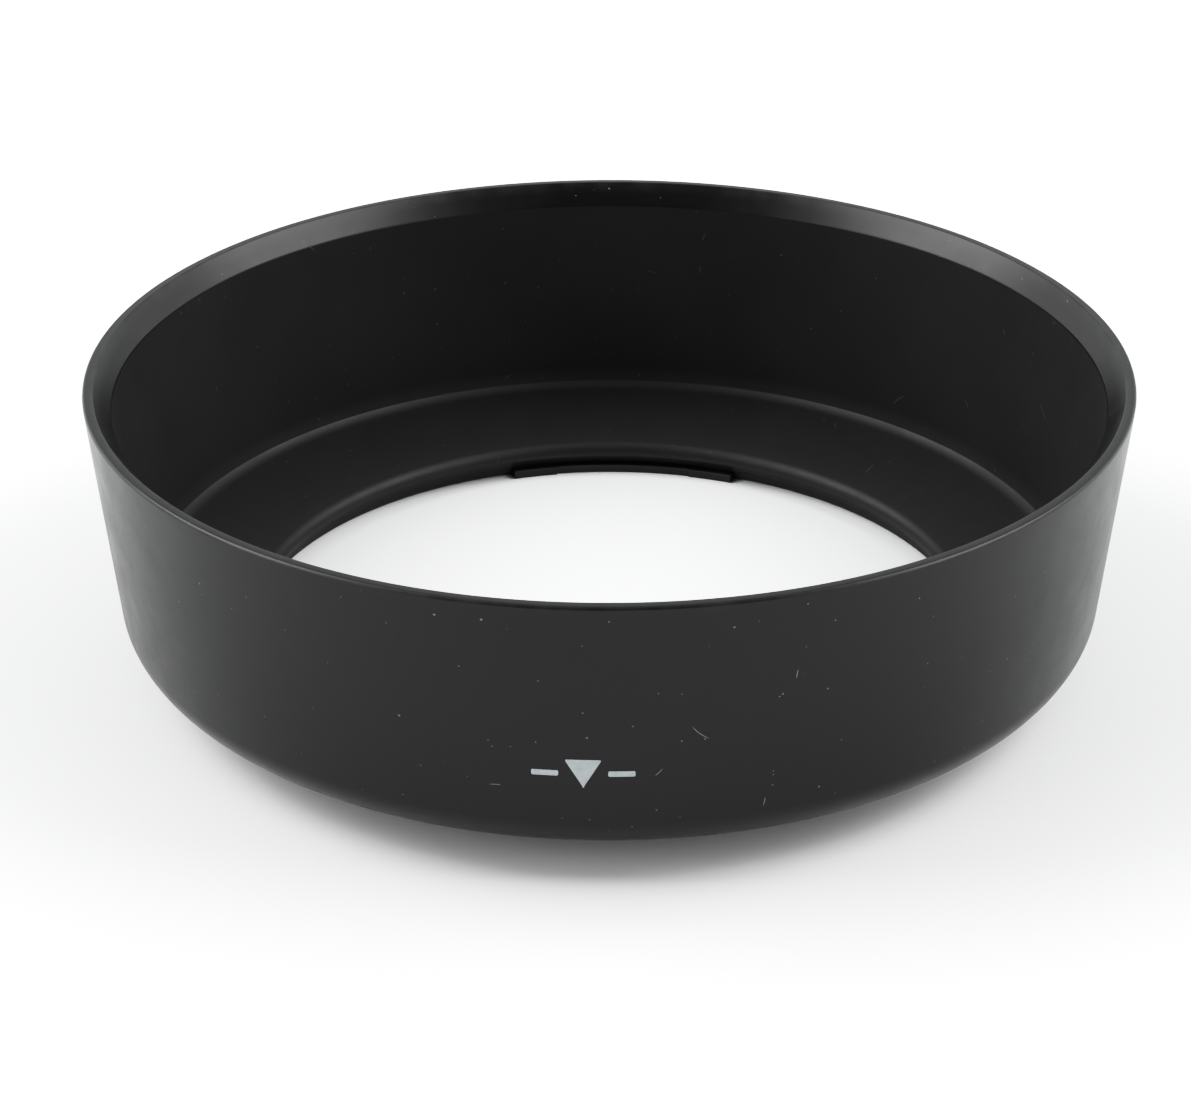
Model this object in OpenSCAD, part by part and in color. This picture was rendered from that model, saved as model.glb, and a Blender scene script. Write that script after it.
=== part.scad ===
// Bayonet lens hood: a flared round shell on a bayonet ring, with a printed index mark.
// The optical axis is Z. Z = 0 is the ring's rear face, and the front rim is at the top.

/* [Front rim] */
// Outer diameter of the front rim
rim_d = 108; // [106:0.5:110]
// Height from the ring's rear face to the front rim
hood_h = 31; // [28:0.1:36]
// Width of the flat front edge
rim_land = 1.1; // [1:0.05:1.5]
// Height of the chamfer inside the rim
rim_chamfer_h = 2.3; // [1.5:0.1:4]
// Radius of the outer edge of the rim
rim_outer_r = 0.35; // [0.2:0.05:0.45]
// Radius of the inner edge of the rim
rim_inner_r = 0.2; // [0.1:0.05:0.3]

/* [Shell] */
// Thickness of the wall just below the rim's chamfer
wall_t = 2.6; // [2.4:0.05:2.8]
// Outward lean of the wall's outer face, in degrees
wall_lean = 5.5; // [5:0.1:6]
// Outward lean of the wall's inner face, in degrees
inner_lean = 3.1; // [2.8:0.1:3.5]
// Outer radius of the shoulder between the wall and the floor
shoulder_r = 4.5; // [4:0.1:5]
// Height of the shoulder's centre
shoulder_z = 8; // [7.8:0.1:8.4]
// Inner radius between the wall and the floor
fillet_r = 2.45; // [2:0.05:3]
// Thickness of the funnel floor
floor_t = 2.4; // [2.1:0.05:2.5]
// Fall of the funnel floor towards the axis, in degrees
floor_fall = 13.5; // [13:0.5:14.5]

/* [Bayonet ring] */
// Smallest clear diameter, at the lip
lip_d = 74.8; // [74.5:0.1:75]
// Rounding of the lip's front edge
lip_r = 1.3; // [1.1:0.05:1.4]
// Length of the straight land behind the lip's rounding
lip_land = 0.2; // [0.15:0.05:0.3]
// Clear diameter of the relief behind the lip
relief_d = 76.4; // [76:0.1:76.8]
// Clear diameter of the mouth, at the rear face
mouth_d = 77.3; // [77:0.1:77.8]
// Depth of the mouth
mouth_h = 1.3; // [1:0.1:1.5]
// Outer diameter of the ring's collar
collar_d = 83.2; // [82.4:0.1:84]
// Diameter of the joint between the ring and the shell's floor
joint_d = 80.2; // [79.6:0.1:80.8]
// Bevel on the rear edges of the collar
collar_bevel = 0.3; // [0.1:0.05:0.4]

/* [Bayonet lugs] */
// Number of lugs, evenly spaced
lug_count = 3; // [2:1:4]
// Angle that each lug and its slot cover, in degrees
lug_span = 40; // [30:1:45]
// Thickness of a lug
lug_t = 0.95; // [0.8:0.05:1.1]
// Clear diameter between opposite lug faces
lug_d = 75.3; // [75.2:0.05:75.6]
// Angle of the raised pad at each end of a lug, in degrees
pad_span = 8; // [5:1:10]
// Height of a pad above its lug's face
pad_rise = 0.2; // [0.1:0.05:0.2]
// Height of the slot above each lug
slot_h = 1.25; // [1.15:0.05:1.25]
// Diameter across the bottoms of the slots
slot_d = 77.3; // [77.3:0.1:78]

/* [Index mark] */
// Overall width of the printed mark
mark_w = 9.5; // [8:0.1:12]
// Height of the mark's triangle
mark_h = 3.1; // [2:0.1:4]
// Thickness of the mark's bars
mark_bar_t = 0.6; // [0.4:0.1:1]
// Height of the mark's centre above the rear face
mark_z = 13; // [12:0.1:20]
// Thickness of the ink
ink_t = 0.06; // [0.04:0.01:0.1]

/* [Hidden] */
$fn = 180;

rim_r = rim_d / 2;
lip_inner_r = lip_d / 2;
relief_r = relief_d / 2;
mouth_r = mouth_d / 2;
collar_r = collar_d / 2;
joint_r = joint_d / 2;
lug_r = lug_d / 2;
slot_r = slot_d / 2;

// Unit normals in the (radius, height) half plane, pointing out of the shell
wall_normal = [cos(wall_lean), -sin(wall_lean)];
inner_normal = [-cos(inner_lean), sin(inner_lean)];
under_normal = [sin(floor_fall), -cos(floor_fall)];

// The shoulder's centre lies where its arc meets the leaning wall without a corner
shoulder_x = rim_r - (shoulder_r + (hood_h - shoulder_z) * sin(wall_lean)) / cos(wall_lean);
shoulder_at = [shoulder_x, shoulder_z];

// Foot of the rim's chamfer, at the top of the inner wall
chamfer_z = hood_h - rim_chamfer_h;
chamfer_foot = [wall_r(chamfer_z) - wall_t, chamfer_z];
chamfer_lean = atan((rim_r - rim_land - chamfer_foot.x) / rim_chamfer_h);
chamfer_normal = [-cos(chamfer_lean), sin(chamfer_lean)];

// Radius of the outer wall at height z
function wall_r(z) = rim_r - (hood_h - z) * tan(wall_lean);
// Height of the shell's underside at radius r
function under_z(r) = shoulder_z - shoulder_r / cos(floor_fall)
    + (r - shoulder_x) * tan(floor_fall);
// Height of the funnel floor at radius r
function floor_z(r) = under_z(r) + floor_t / cos(floor_fall);

// Centre of the inner fillet: it touches the inner wall and the funnel floor.
// At height z the line fillet_r inside the inner wall has this radius.
function fillet_x(z) = chamfer_foot.x - fillet_r / cos(inner_lean)
    - (chamfer_z - z) * tan(inner_lean);
fillet_rise = tan(floor_fall) * tan(inner_lean);
fillet_z = (floor_z(fillet_x(0)) + fillet_r / cos(floor_fall)) / (1 - fillet_rise);
fillet_at = [fillet_x(fillet_z), fillet_z];

// Centre of the lip's rounding, which touches the funnel floor and the straight land
lip_at = [lip_inner_r + lip_r, floor_z(lip_inner_r + lip_r) - lip_r / cos(floor_fall)];
lip_land_z = lip_at.y - lip_land;
relief_z = lip_land_z - (relief_r - lip_inner_r) / 2;

// Centres of the two small roundings of the front edge
outer_edge_at = [
    rim_r - rim_outer_r * (1 + sin(wall_lean)) / cos(wall_lean),
    hood_h - rim_outer_r
];
inner_edge_at = [
    rim_r - rim_land + rim_inner_r * (1 - sin(chamfer_lean)) / cos(chamfer_lean),
    hood_h - rim_inner_r
];

// Everything inside the shell's outer surface
module outer_profile() {
    polygon([
        [0, under_z(0)],
        shoulder_at + shoulder_r * under_normal,
        shoulder_at,
        shoulder_at + shoulder_r * wall_normal,
        outer_edge_at + rim_outer_r * wall_normal,
        outer_edge_at,
        outer_edge_at + [0, rim_outer_r],
        [0, hood_h]
    ]);
    translate(shoulder_at) circle(shoulder_r);
    translate(outer_edge_at) circle(rim_outer_r);
}

// The bowl inside the shell
module bowl_profile() {
    polygon([
        [0, floor_z(0)],
        fillet_at + fillet_r * under_normal,
        fillet_at,
        fillet_at - fillet_r * inner_normal,
        chamfer_foot,
        inner_edge_at + rim_inner_r * chamfer_normal,
        inner_edge_at,
        inner_edge_at + [0, rim_inner_r],
        inner_edge_at + [0, 1],
        [0, hood_h + 1]
    ]);
    translate(fillet_at) circle(fillet_r);
}

module hood_shell() {
    color([0.11, 0.11, 0.11])
    rotate_extrude() {
        difference() {
            outer_profile();
            bowl_profile();
            translate([0, -hood_h]) square([joint_r, 3 * hood_h]);
        }
        translate(inner_edge_at) circle(rim_inner_r);
    }
}

// Half section of the ring without its lugs
module ring_profile() {
    polygon([
        [mouth_r + collar_bevel, 0],
        [collar_r - collar_bevel, 0],
        [collar_r, collar_bevel],
        [collar_r, under_z(collar_r)],
        [joint_r, under_z(joint_r)],
        [joint_r, floor_z(joint_r)],
        lip_at - lip_r * under_normal,
        lip_at,
        [lip_inner_r, lip_at.y],
        [lip_inner_r, lip_land_z],
        [relief_r, relief_z],
        [relief_r, mouth_h],
        [mouth_r, mouth_h],
        [mouth_r, collar_bevel]
    ]);
    translate(lip_at) circle(lip_r);
}

// Plan of a band between two radii, centred on +Y
module band_plan(r_in, r_out, span) {
    reach = 2 * collar_r;
    intersection() {
        difference() {
            circle(r_out);
            circle(r_in);
        }
        polygon([
            [0, 0],
            reach * [sin(span / 2), cos(span / 2)],
            reach * [-sin(span / 2), cos(span / 2)]
        ]);
    }
}

// One lug with a raised pad at each end
module lug() {
    seat_r = (mouth_r + collar_r) / 2;
    linear_extrude(lug_t) {
        band_plan(lug_r, seat_r, lug_span);
        for (side = [-1, 1])
            rotate(side * (lug_span - pad_span) / 2)
            band_plan(lug_r - pad_rise, seat_r, pad_span);
    }
}

// The slot above one lug
module slot() {
    translate([0, 0, lug_t])
        linear_extrude(slot_h)
        band_plan(lip_inner_r, slot_r, lug_span);
}

module bayonet_ring() {
    color([0.13, 0.13, 0.13])
    difference() {
        union() {
            rotate_extrude() ring_profile();
            for (i = [0 : lug_count - 1])
                rotate([0, 0, i * 360 / lug_count]) lug();
        }
        for (i = [0 : lug_count - 1])
            rotate([0, 0, i * 360 / lug_count]) slot();
    }
}

// A triangle that points to the rear, between two short bars
module mark_outline() {
    triangle_w = mark_w * 0.36;
    bar_w = mark_w * 0.26;
    polygon([[-triangle_w / 2, mark_h / 2], [triangle_w / 2, mark_h / 2], [0, -mark_h / 2]]);
    for (side = [-1, 1])
        translate([side * (mark_w - bar_w) / 2, 0])
        square([bar_w, mark_bar_t], center = true);
}

module index_mark() {
    z_low = mark_z - mark_h;
    z_high = mark_z + mark_h;
    color([0.82, 0.84, 0.84])
    intersection() {
        rotate_extrude()
            polygon([
                [wall_r(z_low), z_low],
                [wall_r(z_low) + ink_t, z_low],
                [wall_r(z_high) + ink_t, z_high],
                [wall_r(z_high), z_high]
            ]);
        translate([0, 0, mark_z])
            rotate([90, 0, 0])
            linear_extrude(rim_d)
            mark_outline();
    }
}

hood_shell();
bayonet_ring();
index_mark();
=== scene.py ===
"""Bayonet lens hood: high-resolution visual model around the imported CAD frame. Metres, Z up."""
import math

import bmesh
import bpy
from mathutils import Matrix, Vector


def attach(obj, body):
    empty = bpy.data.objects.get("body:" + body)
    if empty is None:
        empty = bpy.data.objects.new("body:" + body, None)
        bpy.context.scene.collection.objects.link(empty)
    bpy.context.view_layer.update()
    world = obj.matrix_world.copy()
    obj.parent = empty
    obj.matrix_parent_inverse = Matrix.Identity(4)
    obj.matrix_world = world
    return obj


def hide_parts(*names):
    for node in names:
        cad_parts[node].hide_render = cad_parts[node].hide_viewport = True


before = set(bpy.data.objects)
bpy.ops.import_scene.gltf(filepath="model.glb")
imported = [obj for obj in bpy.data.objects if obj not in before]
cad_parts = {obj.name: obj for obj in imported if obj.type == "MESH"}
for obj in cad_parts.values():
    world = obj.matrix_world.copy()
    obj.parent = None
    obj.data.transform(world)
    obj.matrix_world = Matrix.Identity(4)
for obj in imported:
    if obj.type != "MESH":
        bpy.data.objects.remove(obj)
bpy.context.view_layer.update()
MM = 0.001

# ---------------------------------------------------------------- the hood's own sizes, in mm
RIM_R = 54.0
HOOD_H = 31.0
RIM_LAND = 1.1
RIM_CHAMFER_H = 2.3
RIM_OUTER_R = 0.35
RIM_INNER_R = 0.2
WALL_T = 2.6
WALL_LEAN = math.radians(5.5)
INNER_LEAN = math.radians(3.1)
SHOULDER_R = 4.5
SHOULDER_Z = 8.0
FILLET_R = 2.45
FLOOR_T = 2.4
FLOOR_FALL = math.radians(13.5)
LIP_INNER_R = 37.4
LIP_R = 1.3
LIP_LAND = 0.2
RELIEF_R = 38.2
MOUTH_R = 38.65
MOUTH_H = 1.3
COLLAR_R = 41.6
JOINT_R = 40.1
COLLAR_BEVEL = 0.3
LUG_COUNT = 3
LUG_SPAN = 40.0
LUG_T = 0.95
LUG_R = 37.65
PAD_SPAN = 8.0
PAD_RISE = 0.2
SLOT_H = 1.25
SLOT_R = 38.65
SOFT_EDGE = 0.08
FOOT_R = 0.5            # the soft corner at the foot of the rim's chamfer
MARK_W = 9.5
MARK_H = 3.1
MARK_BAR_T = 0.6
MARK_Z = 13.0
MARK_TRIANGLE_SHARE = 0.36
MARK_BAR_SHARE = 0.26
INK_T = 0.05
INK_SUNK = 0.02         # how far the ink's back lies inside the wall

# ---------------------------------------------------------------- how finely the pieces are cut
AROUND = 432            # half sections around the axis
SPACING = 1.2           # mm between points on a straight run
LUG_TURN = 0.12         # half the angle over which a lug begins, in degrees
PAD_TURN = 0.15         # half the angle over which a pad begins, in degrees
SMOOTH_ANGLE = 32.0     # faces that meet at more than this many degrees keep a sharp edge
MATTE, DULL = 1, 2      # the shell's material slots after the satin one
DULL_BELOW_Z = 6.8      # the dull finish covers the fillet and the floor below this height


def make_camera():
    """The photograph's view: a long lens from the front, a little to the right, looking down."""
    # distance and elevation place the camera from the middle of the rim, pitch, yaw and roll
    # aim it, and azimuth then turns it all about the optical axis
    lens_mm, sensor_mm = 90.6801, 36.0
    distance, elevation = 0.311071, math.radians(23.6385)
    pitch, yaw = math.radians(27.2541), math.radians(-0.2912)
    roll, azimuth = math.radians(-0.1942), math.radians(2.6)
    rise = distance * math.sin(elevation) + HOOD_H * MM
    at = Vector((0, -distance * math.cos(elevation), rise))
    level = math.cos(pitch)
    look = Vector((math.sin(yaw) * level, math.cos(yaw) * level, -math.sin(pitch)))
    right = look.cross(Vector((0, 0, 1))).normalized()
    up = right.cross(look)
    right, up = (right * math.cos(roll) + up * math.sin(roll),
                 up * math.cos(roll) - right * math.sin(roll))
    turn = Matrix.Rotation(azimuth, 3, "Z")
    axes = Matrix((turn @ right, turn @ up, -(turn @ look))).transposed()
    data = bpy.data.cameras.new("camera")
    data.sensor_fit = "HORIZONTAL"
    data.sensor_width = sensor_mm
    data.lens = lens_mm
    data.clip_start, data.clip_end = 0.01, 20.0
    camera = bpy.data.objects.new("camera", data)
    camera.matrix_world = Matrix.Translation(turn @ at) @ axes.to_4x4()
    bpy.context.scene.collection.objects.link(camera)
    bpy.context.scene.camera = camera


make_camera()

# ---------------------------------------------------------------- half sections: (radius, height)


def wall_r(z):
    """Radius of the outer wall at height z."""
    return RIM_R - (HOOD_H - z) * math.tan(WALL_LEAN)


SHOULDER_RUN = SHOULDER_R + (HOOD_H - SHOULDER_Z) * math.sin(WALL_LEAN)
SHOULDER_X = RIM_R - SHOULDER_RUN / math.cos(WALL_LEAN)


def under_z(r):
    """Height of the shell's underside at radius r."""
    drop = SHOULDER_R / math.cos(FLOOR_FALL)
    return SHOULDER_Z - drop + (r - SHOULDER_X) * math.tan(FLOOR_FALL)


def floor_z(r):
    """Height of the funnel floor at radius r."""
    return under_z(r) + FLOOR_T / math.cos(FLOOR_FALL)


def arc(centre, radius, start, end, steps):
    """Points on an arc, from angle start to angle end in degrees, both included."""
    points = []
    for i in range(steps + 1):
        a = math.radians(start + (end - start) * i / steps)
        points.append((centre[0] + radius * math.cos(a), centre[1] + radius * math.sin(a)))
    return points


def line(a, b, steps):
    """Points strictly between a and b."""
    return [(a[0] + (b[0] - a[0]) * i / steps, a[1] + (b[1] - a[1]) * i / steps)
            for i in range(1, steps)]


def joined(*runs):
    """Arcs joined by straight runs of points."""
    out = []
    for run in runs:
        if out:
            a, b = out[-1], run[0]
            out += line(a, b, max(1, round(math.dist(a, b) / SPACING)))
        out += run
    return out


def shell_section():
    """The shell's closed half section, anticlockwise from the foot of its joint with the ring."""
    lean, inner, fall = (math.degrees(a) for a in (WALL_LEAN, INNER_LEAN, FLOOR_FALL))
    foot_z = HOOD_H - RIM_CHAMFER_H
    foot = (wall_r(foot_z) - WALL_T, foot_z)
    chamfer = math.atan((RIM_R - RIM_LAND - foot[0]) / RIM_CHAMFER_H)
    edge_out = (RIM_R - RIM_OUTER_R * (1 + math.sin(WALL_LEAN)) / math.cos(WALL_LEAN),
                HOOD_H - RIM_OUTER_R)
    edge_in = (RIM_R - RIM_LAND + RIM_INNER_R * (1 - math.sin(chamfer)) / math.cos(chamfer),
               HOOD_H - RIM_INNER_R)

    def fillet_x(z):
        inside = FILLET_R / math.cos(INNER_LEAN)
        return foot[0] - inside - (foot_z - z) * math.tan(INNER_LEAN)

    rise = math.tan(FLOOR_FALL) * math.tan(INNER_LEAN)
    fillet_z = (floor_z(fillet_x(0)) + FILLET_R / math.cos(FLOOR_FALL)) / (1 - rise)
    fillet = (fillet_x(fillet_z), fillet_z)
    # The soft corner's arc starts a little below the chamfer's foot
    half = (math.degrees(chamfer) - inner) / 2
    back = FOOT_R * math.tan(math.radians(half))
    inner_dir = (math.sin(INNER_LEAN), math.cos(INNER_LEAN))
    start = (foot[0] - back * inner_dir[0], foot[1] - back * inner_dir[1])
    foot_c = (start[0] + FOOT_R * math.cos(INNER_LEAN), start[1] - FOOT_R * math.sin(INNER_LEAN))
    return joined(
        [(JOINT_R, under_z(JOINT_R))],
        arc((SHOULDER_X, SHOULDER_Z), SHOULDER_R, -90 + fall, -lean, 28),
        arc(edge_out, RIM_OUTER_R, -lean, 90, 10),
        arc(edge_in, RIM_INNER_R, 90, 180 - math.degrees(chamfer), 6),
        arc(foot_c, FOOT_R, 180 - math.degrees(chamfer), 180 - inner, 8),
        arc(fillet, FILLET_R, -inner, -90 + fall, 20),
        [(JOINT_R, floor_z(JOINT_R))],
    )


def ring_section(lug, pad):
    """The ring's closed half section.

    lug and pad go from 0 to 1 where a lug and its slot, or a pad, begin. The plain and the cut
    profile have the same number of points, so that one can turn into the other.
    """
    fall = math.degrees(FLOOR_FALL)
    lip_r = LIP_INNER_R + LIP_R
    lip = (lip_r, floor_z(lip_r) - LIP_R / math.cos(FLOOR_FALL))
    land_z = lip[1] - LIP_LAND
    relief_z = land_z - (RELIEF_R - LIP_INNER_R) / 2
    e = SOFT_EDGE
    face = LUG_R - PAD_RISE * pad
    slot_top = LUG_T + SLOT_H
    slope_r = LIP_INNER_R + 2 * (land_z - slot_top)
    plain = [
        (MOUTH_R + COLLAR_BEVEL, 0), (MOUTH_R, COLLAR_BEVEL), (MOUTH_R, 0.7), (MOUTH_R, 0.75),
        (MOUTH_R, 0.8), (MOUTH_R, 0.9), (MOUTH_R, 1.1), (MOUTH_R, MOUTH_H - e),
        (MOUTH_R - e, MOUTH_H), (RELIEF_R + e, MOUTH_H), (RELIEF_R, MOUTH_H + e),
        (RELIEF_R, relief_z), (LIP_INNER_R + 0.12, land_z - 0.06),
    ]
    cut = [
        (face + e, 0), (face, e), (face, 0.4), (face, LUG_T - e),
        (face + e, LUG_T), (RELIEF_R, LUG_T), (SLOT_R - e, LUG_T), (SLOT_R, LUG_T + e),
        (SLOT_R, 1.5), (SLOT_R, slot_top - e), (SLOT_R - e, slot_top),
        (slope_r + e, slot_top), (slope_r - e / 2, slot_top + 0.06),
    ]
    inside = [(a[0] + (b[0] - a[0]) * lug, a[1] + (b[1] - a[1]) * lug)
              for a, b in zip(plain, cut)]
    collar = joined(
        [(JOINT_R, floor_z(JOINT_R)), (JOINT_R, under_z(JOINT_R)),
         (COLLAR_R, under_z(COLLAR_R)), (COLLAR_R, COLLAR_BEVEL)],
        [(COLLAR_R - COLLAR_BEVEL, 0)])
    rear_face = [(40.3, 0), (39.5, 0)]
    top = joined(arc(lip, LIP_R, 180, 90 + fall, 14), [(JOINT_R, floor_z(JOINT_R))])[:-1]
    return collar + rear_face + inside + [(LIP_INNER_R, land_z)] + top


def mesh_object(name, points, faces, material):
    """A smooth-shaded closed mesh, its points in mm, with its faces turned outwards."""
    mesh = bpy.data.meshes.new(name)
    mesh.from_pydata([tuple(c * MM for c in p) for p in points], [], faces)
    mesh.validate()
    solid = bmesh.new()
    solid.from_mesh(mesh)
    bmesh.ops.recalc_face_normals(solid, faces=solid.faces)
    solid.to_mesh(mesh)
    solid.free()
    mesh.shade_smooth()
    mesh.set_sharp_from_angle(angle=math.radians(SMOOTH_ANGLE))
    mesh.materials.append(material)
    obj = bpy.data.objects.new(name, mesh)
    bpy.context.scene.collection.objects.link(obj)
    return obj


def lathe(name, angles, section_at, material):
    """A closed ring: one closed half section at each angle, in degrees from +Y."""
    points, count = [], 0
    for angle in angles:
        section = section_at(angle)
        count = len(section)
        s, c = math.sin(math.radians(angle)), math.cos(math.radians(angle))
        points += [(r * s, r * c, z) for r, z in section]
    faces = []
    for i in range(len(angles)):
        a, b = i * count, (i + 1) % len(angles) * count
        for j in range(count):
            k = (j + 1) % count
            faces.append((a + j, a + k, b + k, b + j))
    return mesh_object(name, points, faces, material)


def ramp(value, start, end):
    """0 before start, 1 after end, and straight between."""
    return min(1.0, max(0.0, (value - start) / (end - start)))


def lug_share(angle):
    """How far the section at this angle is a lug's, and how far a pad's."""
    pitch = 360.0 / LUG_COUNT
    off = abs((angle + pitch / 2) % pitch - pitch / 2)
    lug_end = LUG_SPAN / 2
    pad_start = lug_end - PAD_SPAN
    lug = 1 - ramp(off, lug_end - LUG_TURN, lug_end + LUG_TURN)
    pad = ramp(off, pad_start - PAD_TURN, pad_start + PAD_TURN)
    return lug, pad


def ring_angles():
    """Even angles around the ring, with the exact angles where lugs and pads begin and end."""
    pitch = 360.0 / LUG_COUNT
    angles = {round(i * 360.0 / AROUND, 4) for i in range(AROUND)}
    lug_end = LUG_SPAN / 2
    pad_start = lug_end - PAD_SPAN
    for i in range(LUG_COUNT):
        for side in (-1, 1):
            for at in (lug_end - LUG_TURN, lug_end + LUG_TURN,
                       pad_start - PAD_TURN, pad_start + PAD_TURN):
                angles.add(round((i * pitch + side * at) % 360, 4))
    return sorted(angles)


# ---------------------------------------------------------------- materials

GRAIN_SCALE = 5200.0
GRAIN_STRENGTH = 0.5
GRAIN_DEPTH = 0.006 * MM


class Nodes:
    """Short names for building a node tree."""

    def __init__(self, tree):
        self.tree = tree
        tree.nodes.clear()

    def add(self, kind, inputs=None, **settings):
        """A new node. inputs maps a socket to a value, or to the output that feeds it."""
        node = self.tree.nodes.new(kind)
        for key, value in settings.items():
            setattr(node, key, value)
        for key, value in (inputs or {}).items():
            if isinstance(value, bpy.types.NodeSocket):
                self.tree.links.new(value, node.inputs[key])
            else:
                node.inputs[key].default_value = value
        return node

    def math(self, operation, a, b=0.5, clamp=False):
        node = self.add("ShaderNodeMath", operation=operation, use_clamp=clamp)
        for i, value in enumerate((a, b)):
            if isinstance(value, bpy.types.NodeSocket):
                self.tree.links.new(value, node.inputs[i])
            else:
                node.inputs[i].default_value = value
        return node.outputs[0]

    def remap(self, value, low, high, to_low=0.0, to_high=1.0, smooth=False):
        node = self.add("ShaderNodeMapRange", {"Value": value, "From Min": low, "From Max": high,
                                               "To Min": to_low, "To Max": to_high})
        if smooth:
            node.interpolation_type = "SMOOTHSTEP"
        return node.outputs["Result"]

    def noise(self, vector, scale, detail=2.0, rough=0.5):
        return self.add("ShaderNodeTexNoise", {"Vector": vector, "Scale": scale, "Detail": detail,
                                               "Roughness": rough}).outputs["Fac"]

    def mix(self, share, a, b):
        node = self.add("ShaderNodeMix", data_type="RGBA")
        for index, value in ((0, share), (6, a), (7, b)):
            if isinstance(value, bpy.types.NodeSocket):
                self.tree.links.new(value, node.inputs[index])
            else:
                node.inputs[index].default_value = value
        return node.outputs[2]


def new_material(name):
    material = bpy.data.materials.new(name)
    material.use_nodes = True
    return material, Nodes(material.node_tree)


def unrolled(n, place):
    """The skin laid flat, in metres: the way around the axis, and the way along its section."""
    split = n.add("ShaderNodeSeparateXYZ", {"Vector": place})
    x, y, z = split.outputs[0], split.outputs[1], split.outputs[2]
    around = n.math("MULTIPLY", n.math("ARCTAN2", x, n.math("MULTIPLY", y, -1.0)), 50 * MM)
    radius = n.math("SQRT", n.math("ADD", n.math("MULTIPLY", x, x), n.math("MULTIPLY", y, y)))
    return n.add("ShaderNodeCombineXYZ", {"X": around, "Y": n.math("ADD", radius, z)}).outputs[0]


def scattered_cells(n, vector, cell):
    """Uneven cells about cell mm across, on the flat skin."""
    return n.add("ShaderNodeTexVoronoi",
                 {"Vector": vector, "Scale": 1 / (cell * MM), "Randomness": 0.9},
                 voronoi_dimensions="2D")


def specks(n, vector, cell, share, size):
    """Sparse round flecks: one cell in some has a fleck, of its own size."""
    cells = scattered_cells(n, vector, cell)
    split = n.add("ShaderNodeSeparateColor", {"Color": cells.outputs["Color"]})
    chosen = n.math("LESS_THAN", split.outputs[0], share)
    radius = n.remap(split.outputs[1], 0, 1, size / cell * 0.45, size / cell)
    near = n.math("SUBTRACT", radius, cells.outputs["Distance"])
    return n.math("MULTIPLY", chosen, n.remap(near, 0, 0.3 * size / cell, 0, 1))


def hairs(n, vector, cell, share, length, width):
    """Short fine hairs: one cell in some has a hair, with its own direction and bend."""
    cells = scattered_cells(n, vector, cell)
    split = n.add("ShaderNodeSeparateColor", {"Color": cells.outputs["Color"]})
    offset = n.add("ShaderNodeVectorMath", {0: vector, 1: cells.outputs["Position"]},
                   operation="SUBTRACT")
    turned = n.add("ShaderNodeVectorRotate", {
        "Vector": offset.outputs[0], "Angle": n.math("MULTIPLY", split.outputs[0], 2 * math.pi)},
        rotation_type="Z_AXIS")
    part = n.add("ShaderNodeSeparateXYZ", {"Vector": turned.outputs[0]})
    along, aside = part.outputs[0], part.outputs[1]
    curve = n.remap(split.outputs[1], 0, 1, -160, 160)
    bend = n.math("MULTIPLY", n.math("MULTIPLY", along, along), curve)
    aside = n.math("ABSOLUTE", n.math("SUBTRACT", aside, bend))
    thin = n.remap(aside, width * 0.3 * MM, width * MM, 1, 0)
    ends = n.remap(n.math("ABSOLUTE", along), length * 0.3 * MM, length * 0.5 * MM, 1, 0)
    chosen = n.math("LESS_THAN", split.outputs[2], share)
    return n.math("MULTIPLY", chosen, n.math("MULTIPLY", thin, ends))


def scaled(colour, factor):
    return tuple(c * factor for c in colour) + (1,)


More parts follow.
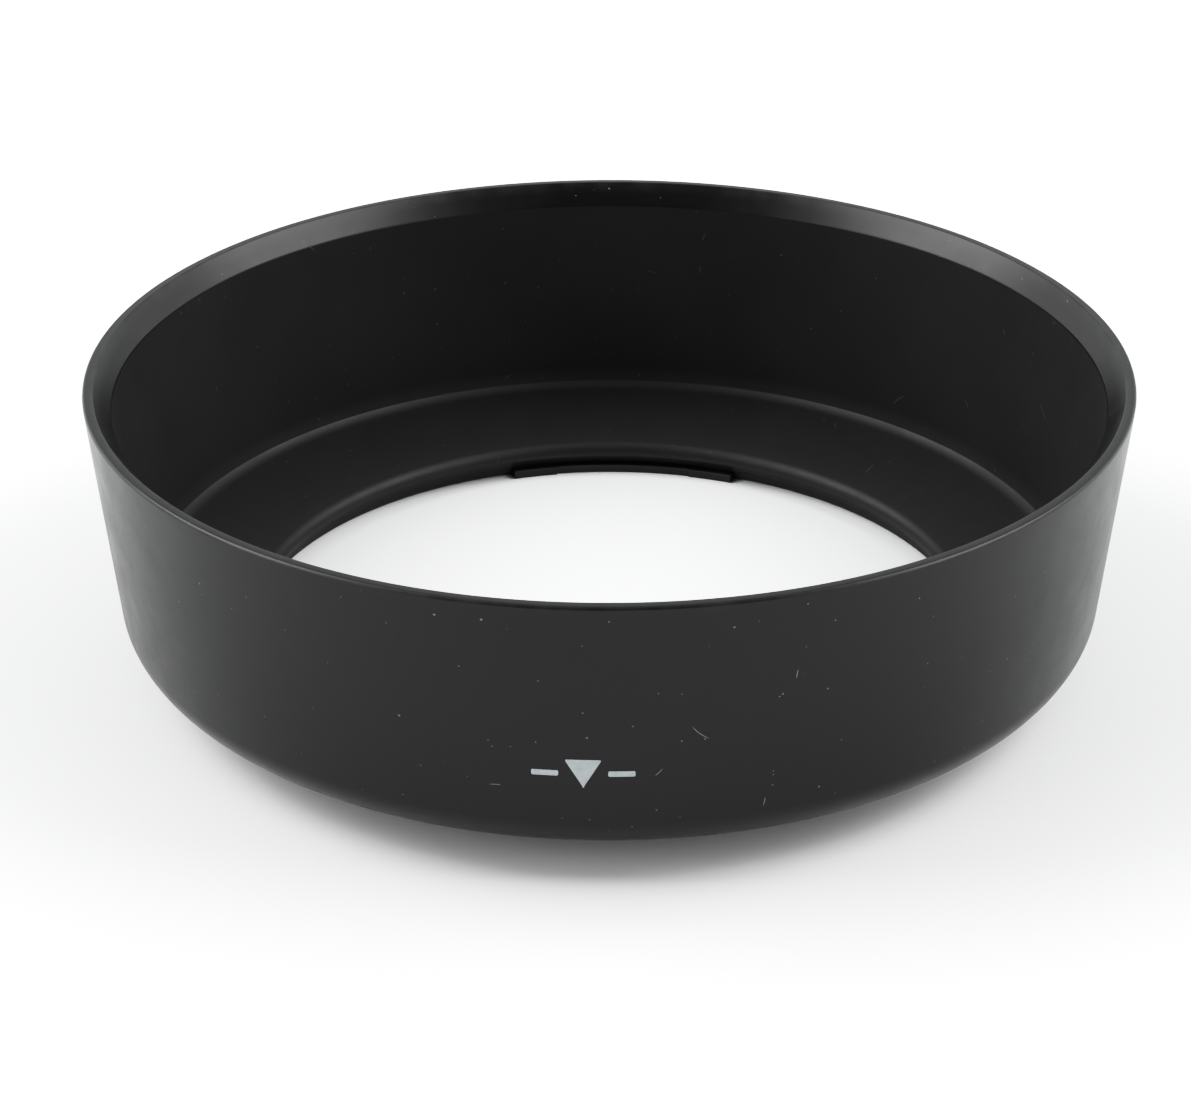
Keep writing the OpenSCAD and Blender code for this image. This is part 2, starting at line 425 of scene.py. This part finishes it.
def plastic(name, base, rough, specular, dust, edge=0.0):
    """Black moulded plastic: fine spark-eroded grain, slow changes of gloss, dust and hairs.

    dust is how strongly the dust shows, and edge how far the edges are made paler: edge wear
    together with a painted edge highlight.
    """
    material, n = new_material(name)
    place = n.add("ShaderNodeTexCoord").outputs["Object"]
    slow = n.noise(place, 60.0, 3.0, 0.55)
    cloud = n.noise(place, 260.0, 3.0, 0.6)
    fine = n.noise(place, GRAIN_SCALE, 2.0, 0.6)
    finer = n.noise(place, 11000.0, 1.0, 0.5)
    flat = unrolled(n, place)
    flecks = n.math("MAXIMUM", specks(n, flat, 4.2, 0.17, 0.15), specks(n, flat, 2.1, 0.10, 0.09))
    lint = n.math("MAXIMUM", hairs(n, flat, 9.0, 0.07, 2.4, 0.06),
                  hairs(n, flat, 5.0, 0.03, 1.1, 0.06))
    dirt = n.math("MULTIPLY", n.math("MAXIMUM", flecks, lint), dust, clamp=True)
    tint = n.mix(n.remap(slow, 0.35, 0.65), scaled(base, 0.92), scaled(base, 1.08))
    # Paler edges: edge wear together with a painted highlight along the rounded edges
    if edge:
        wear_and_highlight = n.add("ShaderNodeAttribute", attribute_name="edge").outputs["Fac"]
        wear_and_highlight_share = n.math("MULTIPLY", wear_and_highlight, n.remap(cloud, 0.4, 0.62, 0.35, 1.0))
        tint = n.mix(n.math("MULTIPLY", wear_and_highlight_share, edge), tint, (0.06, 0.06, 0.06, 1))
    colour = n.mix(n.math("MULTIPLY", dirt, 0.5), tint, (0.42, 0.41, 0.38, 1))
    gloss = n.math("ADD", n.remap(cloud, 0.3, 0.7, rough - 0.03, rough + 0.03),
                   n.remap(fine, 0.3, 0.7, -0.02, 0.02))
    gloss = n.math("ADD", gloss, n.math("MULTIPLY", dirt, 0.4), clamp=True)
    height = n.math("ADD", n.math("MULTIPLY", fine, 0.7), n.math("MULTIPLY", finer, 0.3))
    height = n.math("ADD", height, n.math("MULTIPLY", dirt, 1.5))
    bump = n.add("ShaderNodeBump", {"Height": height, "Strength": GRAIN_STRENGTH,
                                    "Distance": GRAIN_DEPTH})
    shader = n.add("ShaderNodeBsdfPrincipled", {
        "Base Color": colour, "Roughness": gloss, "Normal": bump.outputs["Normal"],
        "IOR": 1.5, "Specular IOR Level": specular})
    n.add("ShaderNodeOutputMaterial", {"Surface": shader.outputs["BSDF"]})
    return material


def ink():
    """Pale grey pad-printed ink, a little uneven, with pinholes and the plastic's grain."""
    material, n = new_material("mark_ink")
    place = n.add("ShaderNodeTexCoord").outputs["Object"]
    uneven = n.noise(place, 1800.0, 3.0, 0.6)
    fine = n.noise(place, GRAIN_SCALE, 2.0, 0.6)
    pin = specks(n, unrolled(n, place), 0.7, 0.2, 0.07)
    patchy = n.remap(uneven, 0.3, 0.7)
    colour = n.mix(patchy, (0.27, 0.30, 0.31, 1), (0.33, 0.36, 0.37, 1))
    colour = n.mix(n.math("MULTIPLY", pin, 0.6), colour, (0.06, 0.06, 0.06, 1))
    bump = n.add("ShaderNodeBump", {"Height": fine, "Strength": GRAIN_STRENGTH,
                                    "Distance": GRAIN_DEPTH})
    shader = n.add("ShaderNodeBsdfPrincipled", {
        "Base Color": colour, "Roughness": n.remap(uneven, 0.3, 0.7, 0.45, 0.6),
        "Normal": bump.outputs["Normal"], "IOR": 1.5})
    n.add("ShaderNodeOutputMaterial", {"Surface": shader.outputs["BSDF"]})
    return material


# ---------------------------------------------------------------- pieces


def edge_attribute(obj, rings, reach):
    """A 0 to 1 value that is high within reach of the given (radius, height) edges."""
    mesh = obj.data
    values = []
    for v in mesh.vertices:
        r, z = math.hypot(v.co.x, v.co.y) / MM, v.co.z / MM
        near = min(math.dist((r, z), ring) for ring in rings)
        values.append(max(0.0, 1 - near / reach))
    attribute = mesh.attributes.new("edge", "FLOAT", "POINT")
    attribute.data.foreach_set("value", values)


satin_plastic = plastic("satin_plastic", (0.0022, 0.0022, 0.0023), 0.32, 0.285, dust=0.7, edge=0.3)
matte_plastic = plastic("matte_plastic", (0.0168, 0.0168, 0.0169), 0.70, 0.05, dust=0.2)
dull_plastic = plastic("dull_plastic", (0.0066, 0.0066, 0.0067), 0.55, 0.37, dust=0.25, edge=0.3)

section = shell_section()
even_angles = [i * 360.0 / AROUND for i in range(AROUND)]
shell = lathe("shell_body", even_angles, lambda a: section, satin_plastic)
shell.data.materials.append(matte_plastic)
shell.data.materials.append(dull_plastic)
wall_top = HOOD_H - RIM_CHAMFER_H - 0.1
for face in shell.data.polygons:
    r, z = math.hypot(face.center.x, face.center.y) / MM, face.center.z / MM
    in_bowl = r < wall_r(z) - 1.2 and z > floor_z(r) - 0.2
    if in_bowl and z < wall_top:
        face.material_index = MATTE if z > DULL_BELOW_Z else DULL
# Mask for the paler rim edges: edge wear and a painted highlight
edge_attribute(shell, [(RIM_R - 0.1, HOOD_H - 0.1), (RIM_R - RIM_LAND, HOOD_H)], 0.35)
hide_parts("hood_shell")

ring = lathe("ring_body", ring_angles(), lambda a: ring_section(*lug_share(a)), dull_plastic)
# Mask for the paler collar and lug edges: edge wear and a painted highlight
edge_attribute(ring, [(COLLAR_R, 0.15), (LUG_R, 0.0), (LUG_R, LUG_T)], 0.3)
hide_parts("bayonet_ring")


def ink_patch(points, faces, rows):
    """A thin raised patch on the wall. rows are (z, left x, right x), from the lowest up."""
    across = 14
    first = len(points)
    per_row = 2 * (across + 1)
    for z, left, right in rows:
        for lift in (-INK_SUNK, INK_T):
            for i in range(across + 1):
                x = left + (right - left) * i / across
                r = wall_r(z) + lift
                points.append((x, -math.sqrt(r * r - x * x), z))
    up = across + 1
    for j in range(len(rows) - 1):
        a, b = first + j * per_row, first + (j + 1) * per_row
        for i in range(across):
            faces.append((a + up + i, a + up + i + 1, b + up + i + 1, b + up + i))
            faces.append((a + i + 1, a + i, b + i, b + i + 1))
        faces.append((a, a + up, b + up, b))
        faces.append((a + up + across, a + across, b + across, b + up + across))
    low, high = first, first + (len(rows) - 1) * per_row
    for i in range(across):
        faces.append((low + i, low + i + 1, low + up + i + 1, low + up + i))
        faces.append((high + up + i, high + up + i + 1, high + i + 1, high + i))


def index_mark():
    """A triangle that points to the rear, between two short bars, with slightly rounded corners."""
    points, faces, rows = [], [], []
    half_h, half_w = MARK_H / 2, MARK_W * MARK_TRIANGLE_SHARE / 2
    corner, tip = 0.12, 0.06
    steps = 18
    for i in range(steps + 1):
        t = i / steps
        w = max(half_w * t, tip)
        trim = corner * max(0.0, 1 - (1 - t) * MARK_H / corner) ** 2
        rows.append((MARK_Z - half_h + MARK_H * t, -w + trim, w - trim))
    ink_patch(points, faces, rows)
    bar_w = MARK_W * MARK_BAR_SHARE
    for side in (-1, 1):
        middle = side * (MARK_W - bar_w) / 2
        rows = []
        for i in range(9):
            t = i / 8 * 2 - 1
            trim = 0.1 * max(0.0, (abs(t) - 0.6) / 0.4) ** 2
            half = bar_w / 2 - trim
            rows.append((MARK_Z + t * MARK_BAR_T / 2, middle - half, middle + half))
        ink_patch(points, faces, rows)
    return mesh_object("mark_print", points, faces, ink())


mark = index_mark()
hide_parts("index_mark")

for piece in (shell, ring, mark):
    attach(piece, "root")

# ---------------------------------------------------------------- floor, world and lights


def make_floor():
    """A large sheet of pale paper."""
    material, n = new_material("floor_paper")
    place = n.add("ShaderNodeTexCoord").outputs["Object"]
    slow = n.remap(n.noise(place, 9.0, 3.0, 0.5), 0.35, 0.65)
    shader = n.add("ShaderNodeBsdfPrincipled", {
        "Base Color": n.mix(slow, (0.86, 0.865, 0.87, 1), (0.89, 0.89, 0.89, 1)),
        "Roughness": 0.8, "Specular IOR Level": 0.2})
    n.add("ShaderNodeOutputMaterial", {"Surface": shader.outputs["BSDF"]})
    mesh = bpy.data.meshes.new("floor")
    side = 6.0
    corners = [(-side, -side, 0), (side, -side, 0), (side, side, 0), (-side, side, 0)]
    mesh.from_pydata(corners, [], [(0, 1, 2, 3)])
    mesh.materials.append(material)
    floor = bpy.data.objects.new("floor", mesh)
    bpy.context.scene.collection.objects.link(floor)


def make_world():
    """A pale studio, darker on the camera's side and brighter low on the left and right."""
    world = bpy.data.worlds.new("studio")
    bpy.context.scene.world = world
    world.use_nodes = True
    n = Nodes(world.node_tree)
    way = n.add("ShaderNodeTexCoord").outputs["Generated"]
    split = n.add("ShaderNodeSeparateXYZ", {"Vector": way})
    front = n.remap(split.outputs["Y"], -0.5, 0.3, 1, 0, smooth=True)
    high = n.remap(split.outputs["Z"], 0.1, 0.45, 0.68, 1, smooth=True)
    dark = n.math("MULTIPLY", front, high)
    colour = n.mix(dark, (0.98, 1.0, 1.0, 1), (0.12, 0.12, 0.12, 1))
    side = n.remap(n.math("ABSOLUTE", split.outputs["X"]), 0.45, 0.85, 0, 1, smooth=True)
    low = n.remap(split.outputs["Z"], 0.35, 0.8, 1, 0, smooth=True)
    colour = n.mix(n.math("MULTIPLY", side, low), colour, (2.2, 2.2, 2.2, 1))
    background = n.add("ShaderNodeBackground", {"Color": colour, "Strength": 0.7})
    n.add("ShaderNodeOutputWorld", {"Surface": background.outputs["Background"]})


def softbox(name, at, size, watts):
    """A rectangular area light that faces the hood."""
    data = bpy.data.lights.new(name, "AREA")
    data.shape = "RECTANGLE"
    data.size, data.size_y = size
    data.energy = watts
    light = bpy.data.objects.new(name, data)
    light.location = at
    aim = Vector((0, 0, 0.01))
    light.rotation_euler = (aim - Vector(at)).to_track_quat("-Z", "Y").to_euler()
    bpy.context.scene.collection.objects.link(light)


make_floor()
make_world()
softbox("softbox_left", (-0.64, 0.06, 0.64), (0.6, 0.5), 4.75)
softbox("softbox_right", (0.64, 0.06, 0.64), (0.6, 0.5), 4.1)
softbox("fill_left", (-0.72, -0.42, 0.36), (0.4, 0.4), 0.8)
softbox("fill_right", (0.72, -0.42, 0.36), (0.4, 0.4), 0.4)
scene = bpy.context.scene
scene.view_settings.view_transform = "Standard"
scene.view_settings.look = "None"
# A camera's usual contrast: the black plastic stays as it is, and the pale floor is lifted
scene.view_settings.use_curve_mapping = True
mapping = scene.view_settings.curve_mapping
tone = mapping.curves[3]
for level, shown in ((0.03, 0.031), (0.1, 0.135), (0.2, 0.31),
                     (0.35, 0.56), (0.55, 0.77), (0.8, 0.92)):
    tone.points.new(level, shown)
mapping.update()
